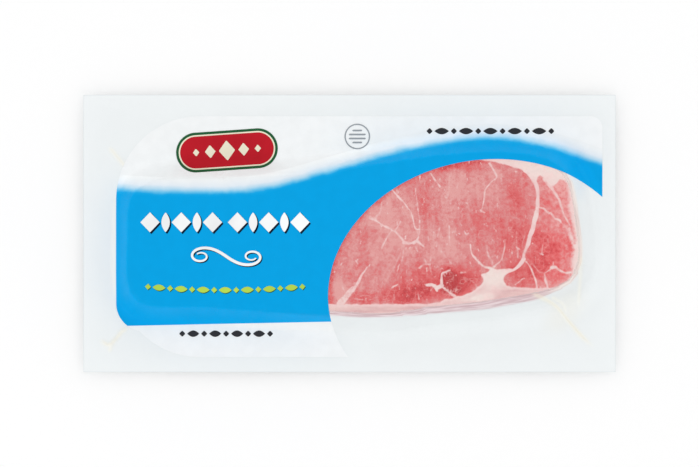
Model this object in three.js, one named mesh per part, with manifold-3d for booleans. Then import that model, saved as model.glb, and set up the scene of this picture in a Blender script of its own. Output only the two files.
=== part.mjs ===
// A vacuum pack of sliced back bacon, lying flat with its printed side up.
// Millimetres: +X runs along the pack, +Y across it, +Z up; the underside rests on z = 0.
// A clear web forms a dish round the stack of rashers, with a welded flange out to a
// rectangular edge. The top web's print is draped over it as fields of colour.
import * as THREE from 'three';
import { mergeVertices } from 'three/addons/utils/BufferGeometryUtils.js';
import Module from 'manifold-3d';

const wasm = await Module();
wasm.setup();

// Pack
const packLength = 266.7;
const packWidth = 138.9;
const floorThickness = 0.6;
const flangeHeight = 4.2;
const flangeThickness = 0.6;
const flangeWave = 0.45;
const flangeWaveLength = 88;
const rimWidth = 0.9;
const skirtWidth = 8;
const skirtSag = 1.5;
const footInset = 0.4;
const footSpread = 5.5;

// Rashers
const rasherCount = 8;
const rasherThickness = 1.8;
const rasherGap = 0.15;
const rasherEdgeRound = 0.5;
const stackShift = new THREE.Vector2(2.6, -1.5);
const stackTurn = -0.027;
const stackJitter = 0.35;
const wallClearance = 0.6;

// Print
const printGap = 0.3;
const printThickness = 0.35;
const printLeft = -116.9;
const printRight = 126.7;
const printTop = 58.8;
const printBottom = -61.9;
const printLeftRadius = 42;
const printRightRadius = 6;
const blueBottomLeft = -46.4;
const blueBottomRight = -43.9;
const colourGap = 0.3;
const windowCentre = new THREE.Vector2(67.3, -26.6);
const windowHalfLength = 78.4;
const windowHalfHeight = 63.2;
const windowTilt = THREE.MathUtils.degToRad(10.25);

// Facets
const stationCount = 96;
const skirtSteps = 5;
const windowSides = 72;
const waveSteps = 40;

const stackBase = floorThickness + rasherGap * 2;
const stackTop = stackBase + rasherCount * rasherThickness + (rasherCount - 1) * rasherGap;
const flangeTop = flangeHeight + flangeThickness;
const halfPack = new THREE.Vector2(packLength / 2, packWidth / 2);

// The cut outline of one rasher: the round loin at +X and the narrower tail at -X.
const rasherOutline = closedCurve([
  [-105, -33.5], [-70, -36], [-40, -38.2], [-10.6, -39.7], [18.9, -40.9], [42.9, -37.5],
  [70.4, -34.4], [105.4, -26.9], [112.6, -21], [115.4, -10.7], [113.4, 9.3], [111.9, 19.3],
  [108.4, 29], [98, 36.4], [78, 39.6], [55, 39.2], [35, 37], [10, 33], [-20, 29.4], [-60, 27],
  [-98, 25.4], [-107.6, 19], [-110, -4], [-109.4, -26],
]);

// The wave along the top of the blue field, from the left edge to the right one.
const waveCrest = [
  [-117.1, 21.5], [-79.6, 19.7], [-43.6, 21.5], [-7.6, 30.9], [28.4, 41.1], [70, 46.9],
  [100.4, 42.6], [126.9, 33.8],
];

const clearFilm = material(0xe6ebec, 0.25, { transparent: true, opacity: 0.45 });
const whitePrint = material(0xf3f4f5, 0.35);
const bluePrint = material(0x05a2e3, 0.35);
const bacon = material(0xdb9090, 0.45);

function material(colour, roughness, extra = {}) {
  return new THREE.MeshStandardMaterial({ color: colour, roughness, metalness: 0, ...extra });
}

function closedCurve(points) {
  return new THREE.CatmullRomCurve3(
    points.map(([x, y]) => new THREE.Vector3(x, y, 0)), true, 'centripetal');
}

function spaced(curve, count) {
  return curve.getSpacedPoints(count).slice(0, count).map((p) => new THREE.Vector2(p.x, p.y));
}

// Where rasher k lies in the shingled stack; 0 is the top one.
function rasherPlace(k) {
  const down = k / (rasherCount - 1);
  return {
    turn: stackTurn * down,
    x: stackShift.x * down + (k ? stackJitter * Math.sin(2.4 * k) : 0),
    y: stackShift.y * down + (k ? stackJitter * Math.cos(3.1 * k) : 0),
  };
}

function placed(point, place) {
  return point.clone().rotateAround(new THREE.Vector2(), place.turn)
    .add(new THREE.Vector2(place.x, place.y));
}

// Stations round the stack's wall: a point that clears every rasher, and its outward normal.
function wallStations() {
  const points = spaced(rasherOutline, stationCount);
  const places = Array.from({ length: rasherCount }, (_, k) => rasherPlace(k));
  return points.map((point, j) => {
    const before = points[(j + stationCount - 1) % stationCount];
    const after = points[(j + 1) % stationCount];
    const along = after.clone().sub(before).normalize();
    const normal = new THREE.Vector2(along.y, -along.x);
    const reach = Math.max(...places.map((place) => placed(point, place).sub(point).dot(normal)));
    return { point: point.clone().addScaledVector(normal, reach + wallClearance), normal };
  });
}

const stations = wallStations();

// A loop of points at one distance outside the stack's wall.
function wallLoop(distance, height) {
  return stations.map(({ point, normal }) => {
    const p = point.clone().addScaledVector(normal, distance);
    return new THREE.Vector3(p.x, p.y, height);
  });
}

// The point on the pack's cut edge straight out from the centre through a station.
function edgePoint({ point }) {
  const reach = Math.min(halfPack.x / Math.abs(point.x), halfPack.y / Math.abs(point.y));
  return point.clone().multiplyScalar(reach);
}

function edgePoints() {
  const points = stations.map(edgePoint);
  for (const sx of [-1, 1]) {
    for (const sy of [-1, 1]) {
      const corner = new THREE.Vector2(sx * halfPack.x, sy * halfPack.y);
      const distances = points.map((p) => p.distanceTo(corner));
      points[distances.indexOf(Math.min(...distances))].copy(corner);
    }
  }
  return points;
}

const packEdge = edgePoints();

// A loop between the skirt's foot (share 0) and the cut edge (share 1), in gentle waves.
function flangeLoop(share, height) {
  return wallLoop(rimWidth + skirtWidth, height).map((foot, j) => {
    const p = foot.clone().lerp(new THREE.Vector3(packEdge[j].x, packEdge[j].y, height), share);
    const phase = 2 * Math.PI / flangeWaveLength;
    p.z += share * flangeWave * (Math.sin(phase * p.x) + Math.cos(phase * (p.y * 1.3 + p.x * 0.4)));
    return p;
  });
}

// The top film's height over the skirt: taut from the stack's edge down to the flange.
function skirtLoops(lift) {
  const loops = [wallLoop(rimWidth, stackTop + lift)];
  for (let i = 1; i <= skirtSteps; i += 1) {
    const t = i / skirtSteps;
    const height = flangeTop + (stackTop - flangeTop) * (1 - t) ** skirtSag;
    loops.push(wallLoop(rimWidth + skirtWidth * t, height + lift));
  }
  return loops;
}

// A closed mesh through a run of loops, closed by a flat cap on the first and on the last.
function loft(loops) {
  const count = loops[0].length;
  const positions = loops.flat().flatMap((p) => [p.x, p.y, p.z]);
  const index = [];
  for (let i = 0; i + 1 < loops.length; i += 1) {
    for (let j = 0; j < count; j += 1) {
      const next = (j + 1) % count;
      const a = i * count + j;
      const b = (i + 1) * count + j;
      const c = (i + 1) * count + next;
      const d = i * count + next;
      index.push(a, b, c, a, c, d);
    }
  }
  const flat = (loop) => loop.map((p) => new THREE.Vector2(p.x, p.y));
  const last = (loops.length - 1) * count;
  for (const [a, b, c] of THREE.ShapeUtils.triangulateShape(flat(loops[0]), [])) {
    index.push(a, b, c);
  }
  for (const [a, b, c] of THREE.ShapeUtils.triangulateShape(flat(loops.at(-1)), [])) {
    index.push(last + a, last + c, last + b);
  }
  const geometry = new THREE.BufferGeometry();
  geometry.setAttribute('position', new THREE.Float32BufferAttribute(positions, 3));
  geometry.setIndex(index);
  return geometry;
}

// The clear web: floor, wall round the stack, skirt down to the flange, and the cut edge.
function filmPack() {
  return loft([
    wallLoop(0, floorThickness),
    wallLoop(0, stackTop),
    ...skirtLoops(0),
    flangeLoop(0.5, flangeTop),
    flangeLoop(1, flangeTop),
    flangeLoop(1, flangeHeight),
    flangeLoop(0.5, flangeHeight),
    wallLoop(rimWidth + skirtWidth, flangeHeight),
    wallLoop(footSpread, flangeHeight),
    wallLoop(footSpread / 2, flangeHeight / 3),
    wallLoop(footInset, 0),
  ]);
}

// One whole sheet draped over the pack, before the fields of print are cut from it.
function drapedSheet() {
  const low = printGap;
  const high = printGap + printThickness;
  return loft([
    ...skirtLoops(high),
    flangeLoop(0.5, flangeTop + high),
    flangeLoop(0.96, flangeTop + high),
    flangeLoop(0.96, flangeTop + low),
    flangeLoop(0.5, flangeTop + low),
    ...skirtLoops(low).reverse(),
  ]);
}

function solid(geometry) {
  const bare = geometry.clone();
  bare.deleteAttribute('normal');
  bare.deleteAttribute('uv');
  const merged = mergeVertices(bare, 1e-4);
  return new wasm.Manifold(new wasm.Mesh({
    numProp: 3,
    vertProperties: merged.attributes.position.array,
    triVerts: Uint32Array.from(merged.index.array),
  }));
}

function geometryOf(manifold) {
  const mesh = manifold.getMesh();
  const geometry = new THREE.BufferGeometry();
  geometry.setAttribute('position', new THREE.BufferAttribute(mesh.vertProperties, 3));
  geometry.setIndex(new THREE.BufferAttribute(mesh.triVerts, 1));
  return geometry;
}

function cutter(shape) {
  const geometry = new THREE.ExtrudeGeometry(shape, {
    depth: stackTop * 2, bevelEnabled: false, curveSegments: 16,
  });
  return solid(geometry);
}

// The print's outer outline: large round corners on the left, small ones on the right.
function printShape() {
  const shape = new THREE.Shape();
  const r = printLeftRadius;
  const s = printRightRadius;
  shape.moveTo(printLeft + r, printBottom);
  shape.lineTo(printRight - s, printBottom);
  shape.absarc(printRight - s, printBottom + s, s, -Math.PI / 2, 0);
  shape.lineTo(printRight, printTop - s);
  shape.absarc(printRight - s, printTop - s, s, 0, Math.PI / 2);
  shape.lineTo(printLeft + r, printTop);
  shape.absarc(printLeft + r, printTop - r, r, Math.PI / 2, Math.PI);
  shape.lineTo(printLeft, printBottom + r);
  shape.absarc(printLeft + r, printBottom + r, r, Math.PI, Math.PI * 1.5);
  return shape;
}

// Clear of print: the oval window, and everything below its middle to the right of it.
function windowShape() {
  const oval = new THREE.EllipseCurve(
    windowCentre.x, windowCentre.y, windowHalfLength, windowHalfHeight, 0, 2 * Math.PI, false,
    windowTilt);
  return new THREE.Shape(oval.getPoints(windowSides));
}

function lowerRightShape() {
  const far = packLength;
  return new THREE.Shape([
    new THREE.Vector2(windowCentre.x, -far),
    new THREE.Vector2(far, -far),
    new THREE.Vector2(far, windowCentre.y),
    windowCentre,
  ]);
}

function wavePoints(drop) {
  const crest = new THREE.SplineCurve(waveCrest.map(([x, y]) => new THREE.Vector2(x, y - drop)));
  return crest.getPoints(waveSteps);
}

// Everything above the wave, or between the wave and the blue field's lower edge.
function aboveWave(lift) {
  const far = packLength;
  const wave = wavePoints(-lift);
  return new THREE.Shape([
    ...wave, new THREE.Vector2(far, wave.at(-1).y), new THREE.Vector2(far, far),
    new THREE.Vector2(-far, far), new THREE.Vector2(-far, wave[0].y),
  ]);
}

function belowBlue(drop) {
  const far = packLength;
  return new THREE.Shape([
    new THREE.Vector2(printLeft, blueBottomLeft - drop),
    new THREE.Vector2(0, blueBottomRight - drop),
    new THREE.Vector2(far, blueBottomRight - drop),
    new THREE.Vector2(far, -far),
    new THREE.Vector2(-far, -far),
    new THREE.Vector2(-far, blueBottomLeft - drop),
  ]);
}

// The three fields of print, side by side in one draped layer.
function printFields() {
  const printed = solid(drapedSheet()).intersect(cutter(printShape()))
    .subtract(cutter(windowShape())).subtract(cutter(lowerRightShape()));
  return {
    print_white_upper: printed.intersect(cutter(aboveWave(colourGap))),
    print_white_lower: printed.intersect(cutter(belowBlue(colourGap))),
    print_blue: printed.subtract(cutter(aboveWave(0))).subtract(cutter(belowBlue(0))),
  };
}

function rasher() {
  const outline = new THREE.Shape(spaced(rasherOutline, stationCount));
  return new THREE.ExtrudeGeometry(outline, {
    depth: rasherThickness - 2 * rasherEdgeRound,
    bevelEnabled: true,
    bevelThickness: rasherEdgeRound,
    bevelSize: rasherEdgeRound,
    bevelOffset: -rasherEdgeRound,
    bevelSegments: 1,
  });
}

function named(geometry, finish, name) {
  const mesh = new THREE.Mesh(geometry, finish);
  mesh.name = name;
  return mesh;
}

const pack = new THREE.Group();
pack.add(named(filmPack(), clearFilm, 'film_pack'));

const rasherGeometry = rasher();
for (let k = 0; k < rasherCount; k += 1) {
  const slice = named(rasherGeometry, bacon, `rasher_${k + 1}`);
  const place = rasherPlace(k);
  const up = rasherCount - 1 - k;
  const bottom = stackBase + up * (rasherThickness + rasherGap) + rasherEdgeRound;
  slice.position.set(place.x, place.y, bottom);
  slice.rotation.z = place.turn;
  pack.add(slice);
}

for (const [name, field] of Object.entries(printFields())) {
  const finish = name === 'print_blue' ? bluePrint : whitePrint;
  pack.add(named(geometryOf(field), finish, name));
}

export default pack;
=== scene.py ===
import math

import bpy
import numpy as np
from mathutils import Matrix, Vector


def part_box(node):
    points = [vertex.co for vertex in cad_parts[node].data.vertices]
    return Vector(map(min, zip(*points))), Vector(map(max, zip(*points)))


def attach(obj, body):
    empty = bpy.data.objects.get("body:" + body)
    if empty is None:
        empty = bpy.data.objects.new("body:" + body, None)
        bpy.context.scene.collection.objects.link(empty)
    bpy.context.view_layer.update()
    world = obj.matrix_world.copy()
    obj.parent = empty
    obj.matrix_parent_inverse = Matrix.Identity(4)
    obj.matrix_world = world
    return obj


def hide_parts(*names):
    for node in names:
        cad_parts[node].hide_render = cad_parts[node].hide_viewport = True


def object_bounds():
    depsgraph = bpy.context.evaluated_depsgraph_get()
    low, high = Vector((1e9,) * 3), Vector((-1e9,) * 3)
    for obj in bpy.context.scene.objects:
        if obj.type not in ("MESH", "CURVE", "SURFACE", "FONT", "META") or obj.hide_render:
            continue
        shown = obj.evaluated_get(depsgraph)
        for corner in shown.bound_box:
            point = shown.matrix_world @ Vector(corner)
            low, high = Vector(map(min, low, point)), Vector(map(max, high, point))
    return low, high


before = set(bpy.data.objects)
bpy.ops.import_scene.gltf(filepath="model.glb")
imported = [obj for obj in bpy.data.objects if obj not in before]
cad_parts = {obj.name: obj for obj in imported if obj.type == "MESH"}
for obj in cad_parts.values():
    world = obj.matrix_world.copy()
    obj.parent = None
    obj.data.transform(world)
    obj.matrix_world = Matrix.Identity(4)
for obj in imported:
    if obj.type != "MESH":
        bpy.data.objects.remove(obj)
cad_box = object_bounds()

# Lengths in this script are millimetres in the pack's own frame, until a mesh is made.
MM = 0.001
RASHERS = [f"rasher_{k + 1}" for k in range(8)]
LAST = len(RASHERS) - 1

# Film
FLANGE = 4.5             # the welded flange's height over the floor
SKIRT = 8.6              # how far out the top film falls from the stack to the flange
FOOT = 5.5               # how far out the bottom film rises from the floor to the flange
SKIRT_SAG = 1.5          # over 1, so that it falls fast at first and then runs out level
FILM_RIM = 0.7           # how far past a rasher's edge the film begins to fall
FILM_BEND = 0.8          # how softly it turns down there
FILM_GAP = 0.12          # film over the meat, and over the floor
INK_GAP = 0.06           # ink over the film
EDGE_GAP = 0.02          # the film's cut edge inside the CAD's box
FILM_STEP = 0.7          # between the film's points
STACK_LOW = 0.3          # the lowest slice's underside over the floor
CONTACT_HAZE = 0.03      # how much of what shows is the film, on the meat
FLANGE_HAZE = 0.94       # and on the flange
PUCKERS = (41, 7, 87)    # waves of the skirt round the stack: main ones, their drift, finer ones
PUCKER_HEIGHT = 0.09

# Print, as laid out on the flat film
PRINT_LOW = np.array([-116.9, -61.9])
PRINT_HIGH = np.array([126.7, 58.8])
LEFT_RADIUS = 42.0                 # of the print's corners to the left and to the right
RIGHT_RADIUS = 6.0
CORNER_LOW = np.array([-116.9, -49.0])     # the blue field's own tighter corner, at its lower left
CORNER_RADIUS = 14.0
WINDOW_CENTRE = np.array([67.3, -26.6])    # the oval window
WINDOW_HALF = np.array([78.4, 63.2])
WINDOW_TILT = math.radians(10.25)
WINDOW_LEFT = -13.0                # x of the window's left end
BLUE_FOOT = (-46.4, -43.9)         # y of the blue field's lower edge, at its left end and at x = 0
# The wave's crest line, over which the blue fades to white
WAVE = [(-117.1, 21.5), (-79.6, 19.7), (-43.6, 21.5), (-7.6, 30.9), (28.4, 41.1), (70, 46.9),
        (100.4, 42.6), (126.9, 33.8)]
WAVE_FADE = 8.0                    # over this height

# Pleats in the clear film: a line, half width and height
PLEATS = [
    ([(-110.8, -46.9), (-114.1, -49.2), (-116.6, -52.2), (-120.6, -55.7), (-125.6, -52.2)], 0.8, 0.6),
    ([(-116.6, -52.2), (-119.4, -56.4), (-120.1, -60.2)], 0.7, 0.4),
    ([(89.7, -29.2), (98.9, -33.5), (104.2, -37.2), (109, -43), (116.4, -51.5), (123.5, -58)], 0.8, 0.7),
    ([(100.4, -31.5), (106.8, -35.3), (108.9, -41.0)], 0.7, 0.4),
    ([(115.4, -10), (115.2, -22), (114.7, -40.2)], 0.7, 0.4),
    ([(-112.0, 33.0), (-121.0, 44.0)], 0.8, 0.5),
    ([(112.0, 33.0), (119.0, 44.0)], 0.8, 0.4),
]
FAN = ((108, -39), (7, 12), -40, 0.2)      # a faint warm cast in the folded corner

# The lean of the top rasher, and the fat seams in it, each with half widths at its two ends
# and a strength
LEAN = [(-12, -35.2), (20, -35.2), (36, -35.1), (43, -34.6), (47.5, -33.2), (52, -31.8), (57.4, -30.6),
        (62, -28.4), (65.4, -25.8), (66.8, -23), (65.6, -20.6), (69.4, -19), (70.8, -16.6), (73.6, -18),
        (80, -17.5), (81.8, -18.3), (78.4, -20.2), (76.8, -22.6), (77.8, -25.2), (80.6, -26.6),
        (86, -27), (92, -27.2), (99, -27.2), (103.6, -26.6), (107.6, -25), (110.2, -22.2), (111, -18),
        (110.6, -12.5), (111.6, -8), (110.6, -4), (109.2, -0.6), (110.2, 2), (111.6, -1.6), (112.6, -5.6),
        (112, 0), (110.8, 5), (109.6, 11), (109, 18), (108.6, 24), (107, 26.4), (104.8, 26.7),
        (102.8, 24.8), (101.4, 23.4), (99.2, 24.4), (97.2, 27), (95.4, 28.8), (94, 28.2), (93, 26),
        (91, 28.4), (88.6, 30.4), (85, 32), (80, 33.6), (70, 36), (60, 36.8), (35, 34.6), (10, 30.4),
        (-20, 26.4), (-60, 24), (-96, 22.4), (-104.5, 17), (-107, -4), (-106, -24),
        (-101, -29.5), (-70, -31.5), (-40, -33.5)]
SEAMS = [
    ([(21.4, 21.5), (29.7, 12.2), (31.2, 8.3), (33, 2.5), (35.1, 1.8)], 0.3, 0.3, 0.9),
    ([(32.9, 22.5), (33.6, 16.1), (34.7, 8.3), (35.1, 1.8), (34.2, -1)], 0.2, 0.35, 0.5),
    ([(10.8, 7.5), (13.6, 6.1), (20.8, 1.8), (23.6, 0.4), (27.2, -4.4)], 0.35, 0.45, 0.8),
    ([(27.2, -4.6), (28.4, -4.7), (32.2, -4.7)], 0.9, 0.25, 0.75),
    ([(32.4, -4.6), (33.8, -4.2), (36.8, -6.3)], 0.9, 0.3, 0.8),
    ([(34.3, -1.5), (33.4, -3.6)], 0.3, 0.5, 0.8),
    ([(33, -6.5), (34.1, -8.8)], 0.35, 0.3, 0.5),
    ([(10.4, 8), (13, 6.6)], 0.9, 0.9, 0.5),
    ([(12.6, 7), (15.1, 10.4), (16.1, 15.4)], 0.6, 0.3, 0.5),
    ([(20.8, 1.2), (17.2, -4.6), (15.8, -7.5)], 0.3, 0.35, 0.6),
    ([(22.9, 1.8), (25.4, 5.8)], 0.35, 0.2, 0.6),
    ([(27.2, -4.7), (26.9, -8.9), (26.2, -13.5)], 0.35, 0.3, 0.5),
    ([(40.4, 30), (45.1, 23.3)], 0.3, 0.35, 0.7),
    ([(35.1, 28.6), (34.7, 26.6)], 0.3, 0.2, 0.6),
    ([(50.6, 30), (48.9, 18.6), (49.4, 12.3)], 0.5, 0.3, 0.35),
    ([(49.7, 3.5), (50, -5.7)], 0.3, 0.3, 0.6),
    ([(41, 8), (42.2, -2), (45, -8)], 1.4, 1.0, 0.25),
    ([(44.8, 2.8), (44, -1.5)], 0.35, 0.25, 0.5),
    ([(57.6, 0.7), (58.6, -0.6), (59.4, 0.4)], 0.35, 0.35, 0.6),
    ([(69.7, 35), (73.3, 28.6), (70.4, 25.4), (67.6, 20.8), (66.1, 11.5)], 0.45, 0.25, 0.7),
    ([(65.6, 11.6), (67.4, 10.6)], 0.6, 0.4, 0.6),
    ([(75.4, 27.5), (75.9, 26)], 0.4, 0.3, 0.5),
    ([(86, 33), (89.6, 30), (92.2, 26.4), (93.7, 22), (94.1, 18)], 1.2, 0.8, 0.95),
    ([(94.2, 21), (93.9, 15.4), (93.3, 10.2), (92.1, 5), (90.7, 0)], 0.75, 1.0, 0.9),
    ([(93.5, 11), (92, 5), (90.8, 0.6)], 1.1, 1.05, 0.95),
    ([(90.7, 0.4), (89, -5), (87.2, -10), (86.6, -13.4)], 1.0, 0.7, 0.9),
    ([(87, -12.4), (85.2, -15.4), (82, -18), (79, -19.5)], 0.9, 0.5, 0.9),
    ([(97.4, 27.2), (100.2, 23.6), (102.4, 20.5), (104.3, 17.3)], 1.1, 0.5, 0.75),
    ([(104.3, 17.3), (105.4, 14.2), (106.6, 10.8), (107.6, 8), (110, 4)], 0.5, 0.25, 0.65),
    ([(94.6, 12.9), (97, 12.6), (98, 11.6), (99.5, 10)], 0.6, 0.35, 0.75),
    ([(99.5, 10.1), (100.4, 10), (101.5, 8.5), (103, 7.2)], 0.35, 0.4, 0.55),
    ([(102.6, 7.4), (104.8, 6.4), (105.5, 5.4)], 0.5, 0.35, 0.8),
    ([(105.5, 5.4), (107, 4), (109, 2.2), (110.2, 0.6)], 0.35, 0.7, 0.55),
    ([(109.8, 2.4), (110.4, -1), (112, -5), (112.6, -8), (111.6, -12), (111.2, -17)], 0.7, 0.9, 0.6),
    ([(83.2, 1), (83.4, -4), (83.6, -7), (84, -12)], 0.35, 0.3, 0.45),
    ([(83.3, -7), (84.6, -7.6)], 0.5, 0.35, 0.6),
    ([(87.6, -1.4), (85.8, -6.4)], 0.3, 0.25, 0.45),
    ([(95.8, 1.1), (99.2, 1.3)], 0.25, 0.25, 0.4),
    ([(96.2, -5.6), (96, -9.8), (96.6, -10.6)], 0.3, 0.3, 0.5),
    ([(93.4, -8.9), (95.4, -10.3)], 0.3, 0.25, 0.45),
    ([(99, -3.2), (99.6, -5)], 0.3, 0.25, 0.4),
    ([(8.6, -17), (6, -21), (4, -25), (1.6, -28.4)], 0.35, 0.9, 0.85),
    ([(1.8, -27.2), (-0.6, -30), (-3.4, -33.4), (-5, -36)], 1.0, 2.0, 0.68),
    ([(26.4, -6), (24.6, -12), (21, -19.5)], 0.3, 0.2, 0.35),
    ([(25, -7), (21.4, -13), (18, -18)], 0.25, 0.2, 0.3),
    ([(26.6, -9), (25.8, -14), (23.4, -20)], 0.25, 0.2, 0.35),
    ([(22.6, -9), (19.4, -17), (15.6, -24)], 0.25, 0.2, 0.3),
    ([(24.6, -11), (22.6, -16), (19, -22.6)], 0.3, 0.2, 0.3),
    ([(-4, -20), (-3.6, -26), (-2, -30)], 0.3, 0.5, 0.35),
    ([(3.4, -13.6), (4.4, -15.6)], 0.35, 0.2, 0.5),
    ([(5.4, -31.4), (9, -30.9), (12, -32.2)], 0.3, 0.25, 0.4),
    ([(2.4, -32.6), (6.8, -33)], 0.35, 0.25, 0.5),
    ([(10, -33), (14, -31.6)], 0.3, 0.25, 0.35),
    ([(21, -26.9), (24.2, -25.2)], 0.35, 0.25, 0.75),
    ([(22.2, -30.6), (22.2, -33)], 0.4, 0.25, 0.4),
    ([(34, -30), (34.6, -32.8)], 0.35, 0.3, 0.5),
    ([(38.6, -25.6), (41.2, -25.9), (43.6, -26.9), (45.9, -26.2)], 0.5, 1.1, 0.9),
    ([(42.6, -26.4), (43.8, -28.4)], 1.0, 0.5, 0.8),
    ([(45.9, -26.4), (46, -22.6), (46.3, -19.8), (50, -18.7)], 0.75, 0.3, 0.85),
    ([(46, -26.6), (48.8, -28.7), (52.8, -31.4)], 0.45, 0.5, 0.75),
    ([(35, -17.2), (37.2, -15.5), (40.2, -15.3)], 0.35, 0.35, 0.65),
    ([(37.6, -12.6), (38.4, -15.4)], 0.3, 0.4, 0.55),
    ([(40.4, -12), (40.2, -17), (41.6, -21)], 0.25, 0.2, 0.45),
    ([(45, -8), (48.4, -12), (51.6, -15)], 0.6, 0.3, 0.3),
    ([(55.6, -19.6), (58, -19.2)], 0.6, 0.3, 0.55),
    ([(58.6, -22.6), (62, -22.4)], 0.3, 0.25, 0.4),
    ([(53.4, -26), (53, -29)], 0.3, 0.25, 0.35),
    ([(60.3, -5.4), (61.2, -10.4), (64, -13.6), (66.6, -16), (70, -17.4)], 0.3, 0.5, 0.7),
    ([(68.6, -5.7), (69.2, -10.7), (71, -14), (72, -17)], 0.2, 0.6, 0.45),
    ([(77.6, -3), (77, -9), (75.6, -13), (72.6, -16.4)], 0.2, 0.5, 0.55),
    ([(88, -14), (90.4, -17.6), (92.4, -22.2), (93.1, -25), (93.6, -28)], 0.35, 0.4, 0.75),
    ([(91.6, -15.6), (94.4, -18.8), (97.2, -19.9)], 0.25, 0.3, 0.45),
    ([(97.2, -19.9), (99.6, -18.4), (101, -17)], 0.35, 0.4, 0.7),
    ([(101, -17), (102.6, -16.8), (104.4, -18.2), (107.4, -19.4), (110.4, -19.6)], 0.85, 0.3, 0.75),
    ([(97.2, -20), (97.8, -23), (98.5, -25.4), (98.9, -28)], 0.5, 0.4, 0.75),
    ([(101.6, -16.6), (101.5, -14.2)], 0.35, 0.2, 0.55),
    ([(82.6, -25.6), (84.5, -24), (87.4, -22.5)], 0.3, 0.3, 0.6),
    ([(61, -28), (68, -25.4)], 0.8, 0.4, 0.3),
    ([(-100, 8), (-70, 10), (-45, 7), (-20, 12)], 1.2, 0.5, 0.9),
    ([(-104, -10), (-75, -7), (-50, -11), (-25, -6), (-12, -10)], 1.4, 0.4, 0.9),
    ([(-98, -22), (-66, -20), (-38, -25), (-15, -22)], 1.0, 0.4, 0.85),
]
SEAM_SWELL = 0.06        # added to each half width
SPECKS = 380             # short strokes of fat scattered through the lean
SPECKS_AT = 45           # x where they are thickest

# How far the edges of the lower slices show past the top one: along x at the front, and elsewhere
LILAC = [(-10, 1.0), (0, 1.2), (20, 0.6), (40, 2.4), (70, 3.0), (84, 2.6), (92, 2.6), (98, 2.0),
         (106, 0.4)]
RIM_REACH = 0.9

LEAN_RED = 0.17          # the lean's redness where no patch changes it
WINDOW_EDGE_PAINTED_SHADE = 0.25   # painted shade: how much redder and darker the lean is along the window's edge, under the print's edge
LEFT_END = (36, 18)      # x where the fibres begin to lean, and where they lean in full
RIGHT_END = (84, 106)    # x where the lean begins to be livelier and brighter, and is so in full

# Soft patches of the lean's redness and of the fat's creaminess: centre, half sizes, turn in
# degrees, strength
# The redness patch at (-9, -24), along the window's left edge, is painted shade of the print's edge.
RED_PATCHES = [
    ((82, 5), (9.5, 26), -6, 0.29), ((38.4, 15), (4, 17), 0, 0.16), ((51, 12), (7, 20), 0, -0.1),
    ((-2, -10), (9, 15), 0, 0.05), ((-9, -24), (3, 12), 0, 0.2), ((99, -10), (12, 13), 10, 0.42),
    ((101, 4), (8, 9), 0, 0.06), ((53.5, -24), (10, 7), -14, 0.74), ((37, -21), (14, 8), -8, 0.28),
    ((29, -30.5), (16, 5.5), 4, 0.56), ((6, -32), (9, 3.5), 0, 0.22), ((86, -20), (9, 6), 20, 0.34),
    ((47, -30), (6, 3.5), 20, 0.3), ((66, -1), (14, 18), 0, 0.12), ((56, 34), (26, 3), 0, 0.25),
    ((103, -22), (7, 4), 0, 0.12), ((96, 21), (4, 8), 0, 0.14), ((107.6, 16), (3, 10), 0, -0.12),
    ((27, 2), (10, 16), 0, -0.1), ((-4, -29), (4, 7), 25, -0.35), ((10, 20), (9, 14), 0, -0.04),
    ((-70, 0), (40, 14), 0, 0.2),
]
CREAM_PATCHES = [
    ((72, -22), (9, 8), 0, 1.0), ((115, 2), (3.5, 40), 0, 0.9), ((98, 31), (20, 6), -14, 0.8),
    ((58, -32.4), (13, 2.6), 14, 0.7), ((67, -32.4), (6, 2), 8, 0.9), ((112, -25), (7, 6), 0, 0.9),
    ((-3, -33), (4, 4), 0, 0.5), ((42.5, -26.5), (4, 3), 0, 0.6), ((102, -17), (3, 2), 0, 0.5),
    ((92.6, 8), (2, 5), 0, 0.5),
]

# Slices
EDGE_DROP = 0.42         # how far their edges round off, as a share of their thickness
EDGE_ROUND = 0.5         # and inwards
STRAY = 0.55             # how far the marbling strays from one slice to the next
TOP_STEPS = (2.0, 0.35)  # between the top slice's points, under the print and in the window
LOW_STEPS = (1.6, 0.5)   # between the lower slices' points, inside and along the edges that show
SHOWN_EDGES = (14, 18)   # how wide those are, to the right and at the front
LAST_STEP = 1.0          # between the last slice's points

# Studio: metres and watts
WORLD_LIGHT = 0.92
LAMPS = [("key", (-1.3, -1.1, 1.9), 1.4, 7), ("fill", (1.4, 1.0, 1.7), 1.8, 5)]   # place, size, power
FLOOR_HALF = 4.0
PICTURE_WIDTH = 0.3495
CAMERA_HEIGHT = 2.6      # over the height that it aims at
AIM_HEIGHT = 0.010


def srgb(red, green, blue, alpha=1.0):
    """A colour as it reads in a picture, 0 to 255, as linear light."""
    return tuple(
        c / 12.92 if c <= 0.04045 else ((c + 0.055) / 1.055) ** 2.4
        for c in (red / 255, green / 255, blue / 255)
    ) + (alpha,)


def smooth(value, low, high):
    """A soft step from 0 at low to 1 at high."""
    t = np.clip((value - low) / (high - low), 0, 1)
    return t * t * (3 - 2 * t)


def rounded(points, per_span=8, closed=False):
    """A smooth curve through a few points (Catmull-Rom)."""
    p = np.array(points, float)
    spans = len(p) if closed else len(p) - 1
    t = np.linspace(0, 1, per_span, endpoint=False)[:, None]
    out = []
    for i in range(spans):
        if closed:
            a, b, c, d = (p[(i + k) % len(p)] for k in (-1, 0, 1, 2))
        else:
            a, b, c, d = (p[min(max(i + k, 0), len(p) - 1)] for k in (-1, 0, 1, 2))
        out.append(0.5 * (2 * b + (c - a) * t + (2 * a - 5 * b + 4 * c - d) * t ** 2
                          + (3 * b - a - 3 * c + d) * t ** 3))
    if not closed:
        out.append(p[-1:])
    return np.concatenate(out)


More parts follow.
